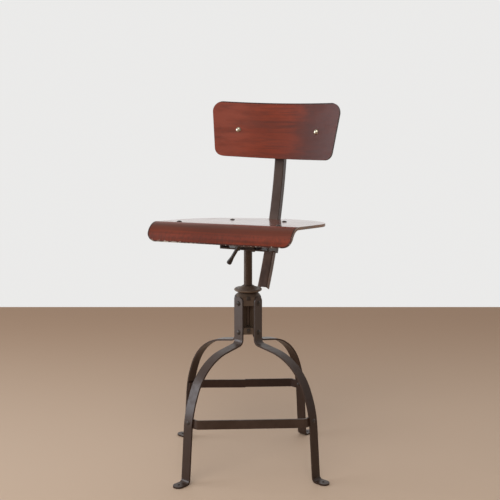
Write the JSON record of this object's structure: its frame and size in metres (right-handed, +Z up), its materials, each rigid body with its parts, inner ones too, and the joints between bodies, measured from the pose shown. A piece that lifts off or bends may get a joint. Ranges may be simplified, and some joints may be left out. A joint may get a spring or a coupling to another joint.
{
  "type": "drafting chair",
  "caption": "Height-adjustable drafting chair with a flat-iron base, a sliding clamped column, a rolled-front ply seat and a curved ply backrest on an arched bar.",
  "frame": {"origin": "on the floor, on the column's axis, which is the centre of the circle of foot screw holes", "axes": "+Z up along the column; the sitter faces -Y and +X is the sitter's left; the base stands turned 28.8 degrees about the column from the seat"},
  "size_m": [0.5686, 0.5686, 1.0381],
  "materials": {
    "dark_steel": "worn dark lacquered flat iron, brown patina on the edges",
    "dark_casting": "sand-cast, dark oiled",
    "oiled_steel": "darkened, lightly oiled round bar",
    "black_fastener": "blackened rivets, screws and nuts",
    "nickel_bolt": "worn nickel-plated dome-headed bolts",
    "stained_ply": "red-brown stained and lacquered beech ply, worn at the edges"
  },
  "bodies": {
    "base": {"leg_front_left": "dark_steel", "leg_front_right": "dark_steel", "leg_rear_left": "dark_steel", "leg_rear_right": "dark_steel", "hub": "dark_casting", "upper_hub_rivets": "black_fastener", "lower_hub_rivets": "black_fastener", "upper_set_screw": "black_fastener", "lower_set_screw": "black_fastener", "footrest_bar_front": "dark_steel", "footrest_bar_rear": "dark_steel", "footrest_rivets": "black_fastener", "clamp_collet": "oiled_steel"},
    "wheel": {"clamp_wheel": "dark_casting"},
    "column": {"column": "oiled_steel"},
    "seat_unit": {"column_head": "dark_casting", "head_screws": "black_fastener", "seat_saddle": "dark_steel", "seat_strap_left": "dark_steel", "seat_strap_right": "dark_steel", "saddle_bolts": "black_fastener", "back_bar_bracket": "dark_steel", "guide_screw": "black_fastener", "seat": "stained_ply", "seat_bolts": "black_fastener", "seat_nuts": "black_fastener"},
    "lever": {"clamp_screw": "black_fastener", "clamp_lever": "black_fastener"},
    "back_bar": {"back_bar": "dark_steel", "pivot_pin": "black_fastener", "pivot_nut": "black_fastener"},
    "backrest": {"pivot_bracket": "dark_steel", "cross_strap": "dark_steel", "bracket_rivets": "black_fastener", "backrest": "stained_ply", "backrest_bolts": "nickel_bolt", "backrest_nuts": "black_fastener"}
  },
  "joints": [
    {"name": "wheel_turn", "type": "hinge", "parent": "base", "child": "wheel", "pos_m": [0, 0, 0.505], "axis": [0, 0, 1], "range_deg": [0, 270]},
    {"name": "column_slide", "type": "slide", "parent": "base", "child": "column", "axis": [0, 0, 1], "range_m": [-0.08, 0.01]},
    {"name": "seat_swivel", "type": "hinge", "parent": "column", "child": "seat_unit", "pos_m": [0, 0, 0.645], "axis": [0, 0, 1], "continuous": true},
    {"name": "clamp_lever_turn", "type": "hinge", "parent": "seat_unit", "child": "lever", "pos_m": [0, -0.044, 0.6457], "axis": [0, -1, 0], "range_deg": [-60, 120]},
    {"name": "back_height", "type": "hinge", "parent": "seat_unit", "child": "back_bar", "pos_m": [0, -0.9752, 1.0486], "axis": [1, 0, 0], "range_deg": [-1.6, 2.6]},
    {"name": "backrest_tilt", "type": "hinge", "parent": "back_bar", "child": "backrest", "pos_m": [0, 0.23452, 0.9467], "axis": [1, 0, 0], "range_deg": [-12, 7]}
  ]
}
